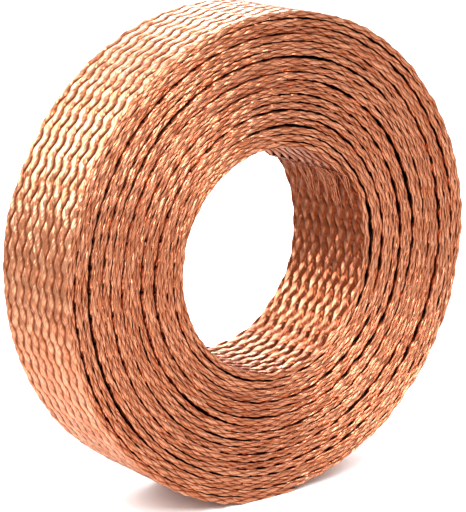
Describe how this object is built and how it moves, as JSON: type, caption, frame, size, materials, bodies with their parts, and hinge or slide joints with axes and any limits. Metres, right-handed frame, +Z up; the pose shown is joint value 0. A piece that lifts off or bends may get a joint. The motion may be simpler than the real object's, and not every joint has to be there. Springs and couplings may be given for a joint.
{
  "type": "flexible busbar braid",
  "caption": "Flat flexible busbar braid of bare copper wire, wound turn on turn into an open roll with a clear bore, standing on its rim.",
  "frame": {"origin": "middle of the foot, the small flat spot on the rim that the roll stands on", "axes": "+Z up, Y along the roll's axis and across the strap with the front face towards -Y, X to the right seen from the front"},
  "size_m": [0.1098, 0.0284, 0.111],
  "materials": {
    "bare_copper": "bright bare copper wire, finely braided, no plating"
  },
  "bodies": {
    "root": {"copper_braid_roll": "bare_copper"}
  },
  "joints": []
}
